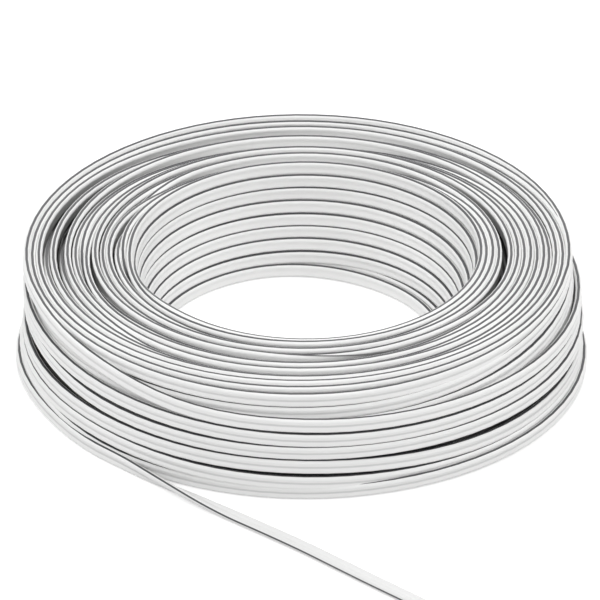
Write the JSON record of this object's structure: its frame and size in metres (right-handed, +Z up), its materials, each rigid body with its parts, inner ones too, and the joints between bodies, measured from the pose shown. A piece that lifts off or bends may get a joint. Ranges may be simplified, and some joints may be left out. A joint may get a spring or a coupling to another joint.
{
  "type": "coiled speaker cable",
  "caption": "Round ring of white flat speaker cable with a dark polarity stripe along one core, lying flat, with its plain cut free end led off to the front.",
  "frame": {"origin": "on the ring's axis, at the surface that the ring lies on", "axes": "+Z up along the ring's axis; -Y to the front, where the free end leads off; +X to the right"},
  "size_m": [0.1802, 0.246, 0.0391],
  "materials": {
    "insulation": "soft white PVC, satin, with a dark grey stripe along the narrow edge of one core",
    "copper": "bare stranded copper, seen at the cut end"
  },
  "bodies": {
    "root": {"coil": "insulation", "free_end": "insulation", "marked_conductor": "copper", "plain_conductor": "copper"}
  },
  "joints": []
}
